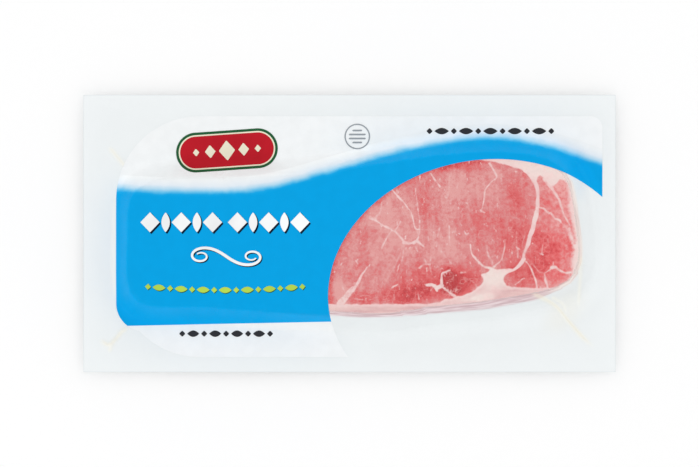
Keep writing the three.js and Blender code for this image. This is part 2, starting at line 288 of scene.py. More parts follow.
def to_line(points, line, closed=False):
    """Distance from points to a polyline, and how far along it the nearest place is, 0 to 1."""
    ends = np.roll(line, -1, 0) if closed else line[1:]
    starts = line if closed else line[:-1]
    lengths = np.linalg.norm(ends - starts, axis=1)
    along_at = np.concatenate([[0], np.cumsum(lengths)])
    best = np.full(len(points), 1e9)
    along = np.zeros(len(points))
    for a, b, length, before in zip(starts, ends, lengths, along_at):
        t = np.clip((points - a) @ (b - a) / max(length ** 2, 1e-12), 0, 1)
        d = np.hypot(*(points - a - t[:, None] * (b - a)).T)
        near = d < best
        best[near] = d[near]
        along[near] = (before + t[near] * length) / along_at[-1]
    return best, along


def inside(points, ring):
    """Whether points lie in a closed ring."""
    odd = np.zeros(len(points), bool)
    x, y = points.T
    for (ax, ay), (bx, by) in zip(ring, np.roll(ring, -1, 0)):
        if ay != by:
            odd ^= ((ay > y) != (by > y)) & (x < (bx - ax) * (y - ay) / (by - ay) + ax)
    return odd


def outside_by(points, ring):
    """Distance out of a closed ring; negative inside it."""
    d, _ = to_line(points, ring, closed=True)
    return np.where(inside(points, ring), -d, d)


def waves(points, seed, length, count=6):
    """Smooth unevenness from a few seeded waves, about -1 to 1."""
    rng = np.random.default_rng(seed)
    total = np.zeros(len(points))
    for _ in range(count):
        turn = rng.uniform(0, 2 * math.pi)
        k = 2 * math.pi / (length * rng.uniform(0.7, 1.5))
        direction = np.array([math.cos(turn), math.sin(turn)])
        total += np.sin(k * (points @ direction) + rng.uniform(0, 2 * math.pi))
    return total / count ** 0.5 / 1.4


def turned(points, degrees):
    """Points turned about the origin, anticlockwise."""
    c, s = math.cos(math.radians(degrees)), math.sin(math.radians(degrees))
    return points @ np.array([[c, s], [-s, c]])


def patches(points, listed):
    """The sum of soft oval patches at the points."""
    total = np.zeros(len(points))
    for centre, half, turn, strength in listed:
        q = turned(points - np.array(centre), -turn) / np.array(half)
        total += strength * np.exp(-(q ** 2).sum(1) ** 1.5)
    return total


def cad_ring(node):
    """A CAD rasher's cut outline, from the vertices of its mesh at their furthest out."""
    co = np.array([v.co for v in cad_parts[node].data.vertices], float)[:, :2] / MM
    centre = (co.min(0) + co.max(0)) / 2
    angle = np.arctan2(*(co - centre).T[::-1])
    reach = np.hypot(*(co - centre).T)
    bins = np.round(angle / math.radians(1.5)).astype(int)
    ring = [co[bins == b][reach[bins == b].argmax()] for b in np.unique(bins)]
    return np.array(ring)


def spread(low, high, step, fine=None, start=None, stop=None):
    """Grid lines from low to high about a step apart, and finer between start and stop."""
    spans = [(low, high, step)]
    if fine:
        spans = [(low, start, step), (start, stop, fine), (stop, high, step)]
    lines = [low]
    for a, b, gap in spans:
        if b > a:
            lines.extend(np.linspace(a, b, math.ceil((b - a) / gap) + 1)[1:])
    return np.array(lines)


def grid(x_lines, y_lines):
    """A flat grid of triangles on the given lines."""
    nx, ny = len(x_lines), len(y_lines)
    x, y = np.meshgrid(x_lines, y_lines)
    corner = (np.arange(ny - 1)[:, None] * nx + np.arange(nx - 1)).ravel()
    a, b, c, d = corner, corner + 1, corner + nx + 1, corner + nx
    faces = np.concatenate([np.stack([a, b, c], 1), np.stack([a, c, d], 1)])
    return np.stack([x.ravel(), y.ravel()], 1), faces


def clip(flat, field):
    """Cuts a flat mesh along field = 0 and keeps the positive side, with a clean edge.

    A point is x, y and any further columns, which the cut edge takes over by their share.
    """
    points, faces = flat
    value = field(points)
    value = np.where(np.abs(value) < 1e-6, 1e-6, value)
    keep = value > 0
    count = keep[faces].sum(1)
    mixed = faces[(count == 1) | (count == 2)]
    lone = keep[mixed] == (keep[mixed].sum(1) == 1)[:, None]
    first = lone.argmax(1)
    a, b, c = (mixed[np.arange(len(mixed)), (first + k) % 3] for k in range(3))
    edges = np.sort(np.concatenate([np.stack([a, b], 1), np.stack([a, c], 1)]), 1)
    edges, back = np.unique(edges, axis=0, return_inverse=True)
    back = back.ravel()
    p, q = edges.T
    t = (value[p] / (value[p] - value[q]))[:, None]
    new = points[p] + t * (points[q] - points[p])
    ab, ac = len(points) + back[:len(mixed)], len(points) + back[len(mixed):]
    alone = keep[a]
    faces = np.concatenate([
        faces[count == 3],
        np.stack([a, ab, ac], 1)[alone],
        np.stack([ab, b, c], 1)[~alone],
        np.stack([ab, c, ac], 1)[~alone],
    ])
    points = np.concatenate([points, new])
    used, faces = np.unique(faces, return_inverse=True)
    return points[used], faces.reshape(-1, 3)


def rim_loop(faces):
    """The outer edge of a flat mesh, as one loop of point numbers."""
    directed = np.concatenate([faces[:, [0, 1]], faces[:, [1, 2]], faces[:, [2, 0]]])
    _, first, times = np.unique(np.sort(directed, 1), axis=0, return_index=True, return_counts=True)
    following = dict(directed[first[times == 1]].tolist())
    loop = [min(following)]
    while following[loop[-1]] != loop[0]:
        loop.append(following[loop[-1]])
    return np.array(loop)


RINGS = [cad_ring(node) for node in RASHERS]
STACK_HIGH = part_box(RASHERS[0])[1].z / MM
SLICE = (STACK_HIGH - STACK_LOW) / len(RASHERS)


def slice_top(k):
    return STACK_HIGH - k * SLICE


def relief(points):
    """The gentle lie of the stack, which every rasher and the top film share."""
    return 0.132 * waves(points, 5, 46) + 0.06 * waves(points, 8, 19)


def film_heights(points):
    """Heights of the top and bottom film, and the way out of the stack and of its top slice."""
    out = [outside_by(points, ring) for ring in RINGS]
    flange = FLANGE + 0.25 * waves(points, 21, 85)
    top = flange.copy()
    for k, d in enumerate(out):
        past = d - FILM_RIM
        soft = 0.5 * (past + np.sqrt(past * past + FILM_BEND ** 2))
        share = np.clip(1 - soft / SKIRT, 0, 1) ** SKIRT_SAG
        top = np.maximum(top, flange + (slice_top(k) + FILM_GAP - flange) * share)
    least = np.min(out, axis=0)
    rise = smooth(least, 0.3, FOOT)
    bottom = FILM_GAP + (flange - FILM_GAP) * rise
    on_stack = smooth(-least, -3.0, 1.5)
    top += relief(points) * on_stack
    _, along = to_line(points, RINGS[-1], closed=True)
    main, drift, finer = (along * 2 * math.pi * count for count in PUCKERS)
    ripple = np.sin(main + 3 * np.sin(drift)) + 0.7 * np.sin(finer + 1.3)
    on_skirt = smooth(least, 0.5, 4.0) * (1 - smooth(least, SKIRT - 2, SKIRT + 9))
    top += PUCKER_HEIGHT * ripple * on_skirt * (0.5 + 0.5 * waves(points, 3, 30))
    for line, half, height in PLEATS:
        d, share = to_line(points, rounded(line))
        fade = smooth(share, 0, 0.12) * (1 - smooth(share, 0.8, 1))
        top += height * fade * np.exp(-(d / half) ** 2)
    return top, np.minimum(bottom, top - 0.05), least, out[0]


FILM_HALF = np.array([cad_box[1].x, cad_box[1].y]) / MM - EDGE_GAP
FILM_X, FILM_Y = (spread(-half, half, FILM_STEP) for half in FILM_HALF)


def film_sheet(every=1):
    """The film as a flat mesh with the columns x, y, top, bottom, out of stack and out of top slice."""
    points, faces = grid(FILM_X[::every], FILM_Y[::every])
    return np.column_stack([points, *film_heights(points)]), faces


FILM = film_sheet()


def film_top_at(points):
    """The top film's height at any points, from its own grid."""
    heights = FILM[0][:, 2].reshape(len(FILM_Y), len(FILM_X))
    across = (points[:, 0] - FILM_X[0]) / (FILM_X[1] - FILM_X[0])
    up = (points[:, 1] - FILM_Y[0]) / (FILM_Y[1] - FILM_Y[0])
    i = np.clip(across.astype(int), 0, len(FILM_X) - 2)
    j = np.clip(up.astype(int), 0, len(FILM_Y) - 2)
    u, v = across - i, up - j
    low = heights[j, i] * (1 - u) + heights[j, i + 1] * u
    high = heights[j + 1, i] * (1 - u) + heights[j + 1, i + 1] * u
    return low * (1 - v) + high * v


def make_piece(name, points, faces, material, replaces=(), attributes=None):
    """A piece of the part's only body, with values at its points for its material."""
    mesh = bpy.data.meshes.new(name)
    mesh.from_pydata((np.asarray(points) * MM).tolist(), [], faces)
    mesh.shade_smooth()
    for key, values in (attributes or {}).items():
        layer = mesh.attributes.new(key, "FLOAT", "POINT")
        layer.data.foreach_set("value", np.asarray(values, np.float32))
    piece = bpy.data.objects.new(name, mesh)
    bpy.context.scene.collection.objects.link(piece)
    mesh.materials.append(material)
    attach(piece, "root")
    if replaces:
        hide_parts(*replaces)
    return piece


class Nodes:
    """Short calls for making one material's node tree."""

    def __init__(self, name):
        self.material = bpy.data.materials.new(name)
        self.material.use_nodes = True
        self.tree = self.material.node_tree
        self.shader = self.tree.nodes["Principled BSDF"]

    def node(self, kind, inputs=None, **settings):
        made = self.tree.nodes.new("ShaderNode" + kind)
        for key, value in settings.items():
            setattr(made, key, value)
        for key, value in (inputs or {}).items():
            self.put(made.inputs[key], value)
        return made

    def put(self, socket, value):
        if isinstance(value, bpy.types.NodeSocket):
            self.tree.links.new(value, socket)
        else:
            socket.default_value = value

    def attribute(self, name):
        return self.node("Attribute", attribute_name=name).outputs["Fac"]

    def place(self):
        return self.node("TexCoord").outputs["Object"]

    def math(self, operation, a, b=0.0, clamp=False):
        return self.node("Math", {0: a, 1: b}, operation=operation, use_clamp=clamp).outputs[0]

    def ramp(self, value, low, high, to_low=0.0, to_high=1.0):
        made = self.node("MapRange", {"Value": value, "From Min": low, "From Max": high,
                                      "To Min": to_low, "To Max": to_high},
                         interpolation_type="SMOOTHSTEP")
        return made.outputs["Result"]

    def mix(self, factor, a, b):
        made = self.node("Mix", data_type="RGBA")
        self.put(made.inputs["Factor"], factor)
        self.put(made.inputs["A"], a)
        self.put(made.inputs["B"], b)
        return made.outputs["Result"]

    def scaled(self, colour, factor):
        return self.node("VectorMath", {0: colour, "Scale": factor}, operation="SCALE").outputs[0]

    def colours(self, value, stops):
        """A colour for each value, from (value, (red, green, blue)) stops."""
        made = self.node("ValToRGB", {"Fac": value})
        elements = made.color_ramp.elements
        elements[0].position, elements[0].color = stops[0][0], srgb(*stops[0][1])
        elements[1].position, elements[1].color = stops[-1][0], srgb(*stops[-1][1])
        for position, colour in stops[1:-1]:
            elements.new(position).color = srgb(*colour)
        return made.outputs["Color"]

    def noise(self, scale, detail=3.0, length=1.0, turn=0.0):
        """Noise with the given scale, and with a length over 1 drawn out along Y turned by turn."""
        place = self.place()
        if length != 1.0:
            place = self.node("Mapping", {"Vector": place, "Scale": (1, length, 1),
                                          "Rotation": (0, 0, math.radians(turn))},
                              vector_type="TEXTURE").outputs["Vector"]
        return self.node("TexNoise", {"Vector": place, "Scale": scale, "Detail": detail}).outputs["Fac"]

    def cells(self, scale):
        """Wavering cells like bundles of fibres: the way to each one's edge and a tone of its own."""
        place = self.place()
        drift = self.node("TexNoise", {"Vector": place, "Scale": scale, "Detail": 2.0}).outputs["Color"]
        drift = self.node("VectorMath", {0: drift, 1: (0.5, 0.5, 0.5)}, operation="SUBTRACT").outputs[0]
        drift = self.scaled(drift, 0.9 / scale)
        place = self.node("VectorMath", {0: place, 1: drift}, operation="ADD").outputs[0]
        edge = self.node("TexVoronoi", {"Vector": place, "Scale": scale}, feature="DISTANCE_TO_EDGE")
        tone = self.node("TexVoronoi", {"Vector": place, "Scale": scale})
        tone = self.node("SeparateXYZ", {"Vector": tone.outputs["Color"]}).outputs["X"]
        return {"edge": edge.outputs["Distance"], "tone": tone}

    def bump(self, height, distance, strength=1.0):
        made = self.node("Bump", {"Height": height, "Distance": distance, "Strength": strength})
        self.put(self.shader.inputs["Normal"], made.outputs["Normal"])

    def set(self, **values):
        for key, value in values.items():
            self.put(self.shader.inputs[key.replace("_", " ")], value)
        return self.material


def film_material():
    """Clear where it lies on the meat, milky where it stands off or is welded, tinted in the pleats."""
    n = Nodes("clear_film")
    tint, cut = n.attribute("tint"), n.attribute("cut_edge")
    # Painted light: the film is painted lighter where it falls from the stack to the flange, against the
    # shade there.
    colour = n.mix(n.attribute("fall"), srgb(237, 241, 242), srgb(240, 244, 245))
    # The slices' edges shine through in layers, as noise that changes fast outwards and slowly along
    slow = 60.0
    x, y, _ = n.node("SeparateXYZ", {"Vector": n.place()}).outputs
    across = n.node("CombineXYZ", {"X": n.attribute("out_of_top"), "Y": n.math("MULTIPLY", x, slow),
                                   "Z": n.math("MULTIPLY", y, slow)}).outputs[0]
    layer = n.ramp(n.node("TexNoise", {"Vector": across, "Scale": 1.3}).outputs["Fac"], 0.35, 0.62)
    rim = n.mix(layer, srgb(228, 208, 204), srgb(241, 231, 225))
    # The lilac here is partly the film's haze and partly a painted reflection of the blue print.
    lilac = n.mix(layer, srgb(208, 178, 183), srgb(236, 217, 220))
    colour = n.mix(n.attribute("blush"), colour, n.mix(n.attribute("lilac"), rim, lilac))
    colour = n.mix(tint, colour, srgb(242, 234, 210))
    colour = n.mix(n.ramp(cut, 0.5, 0.15, 0, 0.4), colour, srgb(200, 207, 211))
    cloud = n.ramp(n.noise(30), 0.3, 0.7, -0.02, 0.02)
    haze = n.math("ADD", cloud, FLANGE_HAZE - CONTACT_HAZE)
    alpha = n.math("ADD", n.math("MULTIPLY", n.attribute("stand_off"), haze), CONTACT_HAZE)
    alpha = n.math("ADD", alpha, n.math("MULTIPLY", n.attribute("crease"), 0.2))
    alpha = n.math("ADD", alpha, n.ramp(cut, 0.6, 0.15, 0, 0.2), clamp=True)
    n.bump(n.noise(240, 2), 0.00005)
    return n.set(Base_Color=colour, Roughness=0.28, Specular_IOR_Level=0.3, Alpha=alpha)


def ink_material(name, colour_at, painted_light_on_fall=0.0):
    """Printing ink with a faint mottle, under the film's soft gloss, and painted lighter where the film
    falls, as a painted highlight on the slopes.
    """
    n = Nodes(name)
    colour = n.scaled(colour_at(n), n.ramp(n.noise(170, 3), 0.3, 0.7, 0.985, 1.015))
    # Painted highlight: the ink is made paler on the slopes where the film falls.
    if painted_light_on_fall:
        colour = n.scaled(colour, n.ramp(n.attribute("fall"), 0, 1, 1, 1 + painted_light_on_fall))
    n.bump(n.noise(300, 2), 0.00002)
    return n.set(Base_Color=colour, Roughness=0.34, Specular_IOR_Level=0.05)


def white_ink(n):
    return n.mix(n.ramp(n.noise(18), 0.35, 0.7), srgb(240, 242, 243), srgb(237, 240, 241))


def blue_ink(n):
    """Solid blue that fades to the white above the wave's crest."""
    above = n.attribute("above_wave")
    above = n.math("ADD", above, n.ramp(n.noise(120), 0.3, 0.7, -0.35, 0.35))
    return n.colours(n.ramp(above, -2.0, WAVE_FADE), [
        (0.0, (0, 159, 224)), (0.06, (20, 164, 225)), (0.16, (96, 188, 230)),
        (0.34, (176, 214, 235)), (0.62, (222, 231, 239)), (1.0, (236, 239, 240))])


def plain_ink(*colour):
    """An ink of one slightly uneven colour."""
    def colour_at(n):
        return n.mix(n.ramp(n.noise(40), 0.3, 0.7), srgb(*colour), srgb(*(0.94 * c for c in colour)))
    return colour_at


def fibres(n, x):
    """Drawn-out noise like muscle fibres, upright to the right and leaning at the left."""
    upright = n.noise(420, 3, length=6, turn=4)
    leaning = n.noise(420, 3, length=6, turn=-30)
    at_left = n.ramp(x, *(end * MM for end in LEFT_END))
    return n.node("Mix", {"Factor": at_left, 2: upright, 3: leaning}).outputs[0]


def lean_colour(n, x, fine, grain, fibre):
    """Pinks and reds that vary in blotches, fibres, cells and grains, with webs and flecks of fat."""
    red = n.attribute("red")
    cells = n.cells(520)
    at_right = n.ramp(x, *(end * MM for end in RIGHT_END))
    livelier = n.math("ADD", n.math("MULTIPLY", at_right, 1.2), 1.0)
    redness = red
    for change in (
        n.ramp(n.noise(75, 3), 0.3, 0.7, -0.11, 0.11),
        n.ramp(n.noise(130, 2, length=4, turn=4), 0.3, 0.7, -0.09, 0.09),
        n.math("MULTIPLY", n.ramp(grain, 0.3, 0.7, -0.07, 0.07), livelier),
        n.math("MULTIPLY", n.ramp(fibre, 0.38, 0.66, 0.07, -0.07),
               n.ramp(n.noise(60), 0.35, 0.65, 0.4, 1.0)),
        n.ramp(fine, 0.36, 0.64, -0.07, 0.07),
        n.math("MULTIPLY", n.math("SUBTRACT", cells["tone"], 0.5), 0.14),
    ):
        redness = n.math("ADD", redness, change)
    lean = n.colours(redness, [
        (0.0, (223, 154, 151)), (0.25, (215, 126, 126)), (0.5, (216, 92, 93)),
        (0.75, (204, 60, 64)), (1.0, (184, 38, 44))])
    webs = n.math("MULTIPLY", n.ramp(cells["edge"], 0.12, 0.0), n.ramp(n.noise(190), 0.46, 0.64))
    webs = n.math("MULTIPLY", webs, n.ramp(red, 0.45, 0.8, 0.22, 0.5))
    lean = n.mix(webs, lean, srgb(236, 188, 184))
    flecks = n.math("MULTIPLY", n.ramp(fine, 0.6, 0.74, 0, 0.4), n.ramp(n.noise(210), 0.48, 0.62))
    lean = n.mix(flecks, lean, srgb(238, 196, 192))
    return n.scaled(lean, n.math("ADD", n.math("MULTIPLY", at_right, 0.1), 1.0))


def fat_colour(n, grain):
    """Pinkish white fat, creamier in places, streaked along the rind, and lilac on the lower slices:
    partly the film's haze, partly a painted reflection of the blue print.
    """
    along_rind = n.noise(420, 3, length=9, turn=88)
    colour = n.mix(n.attribute("cream"), srgb(235, 199, 197), srgb(236, 218, 212))
    colour = n.mix(n.ramp(n.noise(150, 2), 0.42, 0.66, 0, 0.6), colour, srgb(238, 203, 200))
    rind = n.mix(n.ramp(along_rind, 0.35, 0.68), srgb(214, 168, 168), srgb(229, 194, 190))
    colour = n.mix(n.attribute("rind"), colour, rind)
    # Lilac on the lower slices: partly the film's haze over them, partly a painted reflection of the blue
    # print.
    lilac = n.mix(n.ramp(along_rind, 0.35, 0.7), srgb(224, 194, 198), srgb(234, 217, 219))
    colour = n.mix(n.math("MULTIPLY", n.attribute("under"), 0.8), colour, lilac)
    return n.scaled(colour, n.ramp(grain, 0.3, 0.7, 0.975, 1.025))


def bacon_material():
    """Moist lean crossed by soft, slightly ragged seams of fat."""
    n = Nodes("bacon")
    x = n.node("SeparateXYZ", {"Vector": n.place()}).outputs["X"]
    fine = n.noise(900, 4)
    grain = n.noise(430, 3)
    fibre = fibres(n, x)
    fat = n.attribute("fat")
    ragged = n.math("MULTIPLY", n.math("SUBTRACT", n.noise(650, 4), 0.5), n.ramp(fat, 0.05, 0.5, 0, 1.1))
    share = n.ramp(n.math("ADD", fat, ragged), 0.08, 0.95)
    colour = n.mix(share, lean_colour(n, x, fine, grain, fibre), fat_colour(n, grain))
    n.bump(n.math("ADD", n.math("MULTIPLY", fine, 0.6), n.math("MULTIPLY", fibre, 0.5)), 0.0002, 0.6)
    return n.set(Base_Color=colour, Roughness=0.42, Specular_IOR_Level=0.25, Coat_Weight=0.15,
                 Coat_Roughness=0.15)


def inside_box(points, low, high, radius):
    """Distance inside an upright box with round corners."""
    q = np.abs(points[:, :2] - (low + high) / 2) - (high - low) / 2 + radius[:, None]
    return radius - np.hypot(*np.maximum(q, 0).T) - np.minimum(q.max(1), 0)


def print_outline(points):
    """Distance inside the print's outer outline."""
    left = points[:, 0] < (PRINT_LOW[0] + PRINT_HIGH[0]) / 2
    whole = inside_box(points, PRINT_LOW, PRINT_HIGH, np.where(left, LEFT_RADIUS, RIGHT_RADIUS))
    corner = inside_box(points, CORNER_LOW, np.zeros(2), np.full(len(points), CORNER_RADIUS))
    return np.maximum(whole, corner)


def out_of_window(points):
    """Distance out of the oval window, and of the clear corner below it and to its right."""
    q = turned(points[:, :2] - WINDOW_CENTRE, -math.degrees(WINDOW_TILT))
    scaled = np.hypot(*(q / WINDOW_HALF).T)
    slope = np.hypot(*(q / WINDOW_HALF ** 2).T)
    oval = scaled * (scaled - 1) / np.maximum(slope, 1e-9)
    corner = np.minimum(points[:, 0] - WINDOW_CENTRE[0], WINDOW_CENTRE[1] - points[:, 1])
    return np.minimum(oval, -corner)


WAVE_LINE = rounded(WAVE)


def above_wave(points):
    """Height over the wave's crest line, squared up to the line's slope."""
    slope = np.gradient(WAVE_LINE[:, 1], WAVE_LINE[:, 0])
    rise = points[:, 1] - np.interp(points[:, 0], *WAVE_LINE.T)
    return rise / np.sqrt(1 + np.interp(points[:, 0], WAVE_LINE[:, 0], slope) ** 2)


def above_blue_foot(points):
    slope = BLUE_FOOT[1] - BLUE_FOOT[0]
    return points[:, 1] - BLUE_FOOT[0] - slope * (points[:, 0] - PRINT_LOW[0]) / -PRINT_LOW[0]


def lifted(name, flat, lift, material, replaces=(), attributes=None):
    """Ink on the film: a part of the film's own mesh, just over it."""
    points, faces = flat
    place = points[:, :3] + [0, 0, lift]
    make_piece(name, place, faces.tolist(), material, replaces, attributes)


def draped(name, shapes, lift, material):
    """Flat shapes laid on the top film."""
    points, faces, start = [], [], 0
    for p, f in shapes:
        points.append(p)
        faces.append(f + start)
        start += len(p)
    points = np.concatenate(points)
    place = np.column_stack([points, film_top_at(points) + lift])
    make_piece(name, place, np.concatenate(faces).tolist(), material)


def falling(points):
    """1 where the film falls from the stack to the flange, where it catches the light from the side; the
    film and the ink are painted lighter there, as painted light.
    """
    out = points[:, 4]
    return smooth(out, -0.5, 1.5) * (1 - smooth(out, SKIRT, SKIRT + 6))


def film_attributes(points):
    """What the film's material needs to know at the film's points."""
    cut = (FILM_HALF + EDGE_GAP - np.abs(points[:, :2])).min(1)
    crease = np.zeros(len(points))
    tint = patches(points[:, :2], [FAN])
    for line, _, height in PLEATS:
        d, share = to_line(points[:, :2], rounded(line))
        fade = smooth(share, 0, 0.1) * (1 - smooth(share, 0.75, 1))
        crease = np.maximum(crease, fade * np.exp(-(d / 0.7) ** 2) * height)
        tint = np.maximum(tint, 0.8 * fade * np.exp(-(d / 1.1) ** 2) * height)
    out, out_of_top = points[:, 4], points[:, 5]
    low = smooth(-points[:, 1], 22, 27) * (1 - smooth(points[:, 0], 94, 106))
    reach = RIM_REACH + low * (np.interp(points[:, 0], *np.transpose(LILAC)) - RIM_REACH)
    return {"cut_edge": cut, "crease": crease, "tint": tint, "fall": falling(points),
            "blush": smooth(out_of_top, -1.9, -0.5) * (1 - smooth(out_of_top - reach, -0.5, 0.5)),
            "lilac": low, "out_of_top": np.clip(out_of_top, -4, 6),
            "stand_off": np.maximum(smooth(out, -0.8, 0.2), smooth(out_of_top, -1.7, -0.2))}


def add_films(material):
    points, faces = FILM
    top = make_piece("top_web", points[:, :3], faces.tolist(), material, ["film_pack"],
                     film_attributes(points))
    points, faces = clip(film_sheet(every=2), lambda p: FOOT - p[:, 4])
    bottom = make_piece("bottom_web", points[:, [0, 1, 3]], faces[:, ::-1].tolist(), material,
                        (), film_attributes(points))
    for web in (top, bottom):
        web.visible_shadow = False      # so thin that it leaves what it covers in full light


def add_print():
    sheet = clip(clip(FILM, print_outline), out_of_window)
    lifted("print_white", sheet, INK_GAP, ink_material("white_print", white_ink, 0.02),
           ["print_white_upper", "print_white_lower"], {"fall": falling(sheet[0])})
    blue = clip(clip(sheet, lambda p: WAVE_FADE - above_wave(p)), above_blue_foot)
    lifted("print_blue_field", blue, 1.6 * INK_GAP, ink_material("blue_print", blue_ink, 0.1),
           ["print_blue"], {"above_wave": above_wave(blue[0]), "fall": falling(blue[0])})


def shape(centre, size, field, turn=0.0, step=0.5):
    """A flat shape of a given size, cut by a field over its own centre."""
    half = np.array(size) / 2
    points, faces = clip(grid(*(spread(-h, h, step) for h in half)), field)
    return turned(points, turn) + np.array(centre), faces


def bar(centre, size, turn=0.0, radius=None):
    """A flat bar with rounded corners."""
    half = np.array(size) / 2
    r = min(half) if radius is None else radius
    return shape(centre, size, lambda p: r - np.hypot(*np.maximum(np.abs(p) - half + r, 0).T), turn)


def lozenge(centre, size, turn=0.0):
    half = np.array(size) / 2
    return shape(centre, size, lambda p: 1 - (np.abs(p) / half).sum(1), turn)


def leaf(centre, size, turn=0.0):
    """A flat leaf, pointed at its two ends."""
    half = np.array(size) / 2
    return shape(centre, size, lambda p: half[1] * (1 - (p[:, 0] / half[0]) ** 2) - np.abs(p[:, 1]),
                 turn, step=0.4)


def frieze(centre, widths, height, gap, sag=0.0):
    """A row of lozenges and leaves by turns, whose middle may hang down."""
    length = sum(widths) + gap * (len(widths) - 1)
    shapes = []
    x = -length / 2
    for i, width in enumerate(widths):
        at = x + width / 2
        share = 2 * at / length
        place = (centre[0] + at, centre[1] + sag * (share ** 2 - 1))
        slope = math.degrees(math.atan(4 * sag * share / length))
        if i % 2 == 0:
            shapes.append(lozenge(place, (width, height), slope))
        elif height > width:
            shapes.append(leaf(place, (height, width), slope + 90))
        else:
            shapes.append(leaf(place, (width, height), slope))
        x += width + gap
    return shapes


def ribbon(line, middle, end, step=0.3):
    """A flat strip along a curve, which narrows to its ends."""
    margin = middle + step
    lines = [spread(a, b, step) for a, b in zip(line.min(0) - margin, line.max(0) + margin)]

    def field(points):
        d, share = to_line(points, line)
        return end + (middle - end) * np.sin(math.pi * share) - d
    return clip(grid(*lines), field)


def scroll(centre, width, height):
    """A lying S that curls in at both ends, as its bend grows with the way from the middle."""
    reach = 2.25
    t = np.linspace(-reach, reach, 160)
    heading = math.pi * t ** 2 / 2 - math.pi / 4
    steps = np.stack([np.cos(heading), np.sin(heading)], 1) * (t[1] - t[0])
    line = np.cumsum(steps, 0)
    line -= (line.min(0) + line.max(0)) / 2
    return line / np.ptp(line, axis=0) * [width, height] + np.array(centre)


def add_marks():
    """The print's plain ornaments: friezes, a scroll, a ring with lines and a badge."""
    navy = ink_material("navy_ink", plain_ink(8, 28, 50))
    charcoal = ink_material("charcoal_ink", plain_ink(50, 51, 55))
    white = ink_material("white_mark_ink", plain_ink(248, 250, 251))
    lime = ink_material("lime_ink", plain_ink(184, 216, 82))
    red = ink_material("red_ink", plain_ink(190, 28, 42))
    green = ink_material("green_ink", plain_ink(36, 92, 56))
    grey = ink_material("grey_ink", plain_ink(150, 156, 162))
    cream = ink_material("cream_ink", plain_ink(244, 238, 214))
    lift = 3 * INK_GAP

    title = [(-83.9, 5.6), (-40.3, 5.6)]
    row = [9.6, 4.2, 9.6, 4.2, 9.6]
    drop = 0.7
    shade = [s for x, y in title for s in frieze((x + drop, y - drop), row, 10.4, 0.9)]
    draped("mark_title_shade", shade, lift, navy)
    draped("mark_title", [s for place in title for s in frieze(place, row, 10.0, 0.9)],
           lift + INK_GAP, white)
    curl = scroll((-61.5, -11.4), 34, 8.4)
    draped("mark_scroll_shade", [ribbon(curl + [0.5, -0.5], 0.75, 0.35)], lift, navy)
    draped("mark_scroll", [ribbon(curl, 0.75, 0.35)], lift + INK_GAP, white)
    rule = [3.0, 6.4] * 7 + [3.0]
    draped("mark_rule_shade", frieze((-61.7, -26.7), rule, 3.2, 0.8, sag=1.8), lift, green)
    draped("mark_rule", frieze((-62, -26.4), rule, 3.0, 0.8, sag=1.8), lift + INK_GAP, lime)
    draped("mark_foot", frieze((-61.8, -50.2), [3.2, 6.0] * 4 + [3.2], 3.2, 0.9), lift, charcoal)
    draped("mark_weight", frieze((70.6, 51.3), [3.2, 7.2] * 5 + [3.2], 3.2, 0.9), lift, charcoal)

    turn = np.linspace(0, 2 * math.pi, 48)
    centre, radius = np.array([3.9, 48.6]), 6.1
    ring = centre + radius * np.stack([np.cos(turn), np.sin(turn)], 1)
    lines = [bar(centre + [0, up], (width, 0.8)) for up, width in ((3, 5), (1, 8.6), (-1, 8.6), (-3, 5))]
    draped("mark_ring", [ribbon(ring, 0.3, 0.3), *lines], lift, grey)

    badge, tilt = (-61.4, 41.6), 4
    draped("badge_band", [bar(badge, (51, 20), tilt, 10)], lift, green)
    draped("badge_line", [bar(badge, (48.4, 17.4), tilt, 8.7)], lift + INK_GAP, cream)
    draped("badge_field", [bar(badge, (47, 16), tilt, 8)], lift + 2 * INK_GAP, red)
    charges = []
    for across, size in ((-15.5, 3.2), (-8.4, 5.4), (0, 8.2), (8.4, 5.4), (15.5, 3.2)):
        place = turned(np.array([across, 0.0]), tilt) + badge
        charges.append(lozenge(place, (size, size * 1.25), tilt))
    draped("badge_charges", charges, lift + 3 * INK_GAP, cream)


def specks(points):
    """Short strokes of fat through the lean, upright to the right and leaning to the left."""
    rng = np.random.default_rng(17)
    value = np.zeros(len(points))
    for _ in range(SPECKS):
        centre = np.array([rng.triangular(WINDOW_LEFT, SPECKS_AT, 112), rng.uniform(-35, 36)])
        slant = np.interp(centre[0], [10, 45], [-32, -3]) + rng.normal(0, 22)
        long, half = rng.gamma(1.2, 0.35), rng.uniform(0.1, 0.3)
        strength = rng.uniform(0.3, 0.8)
        near = (np.abs(points - centre) < long + 2).all(1)
        q = turned(points[near] - centre, -slant)
        d = np.hypot(q[:, 0] + 0.15 * np.sin(q[:, 1] * 3), np.maximum(np.abs(q[:, 1]) - long, 0))
        value[near] = np.maximum(value[near], strength * (1 - smooth(d, half - 0.2, half + 0.3)))
    return value


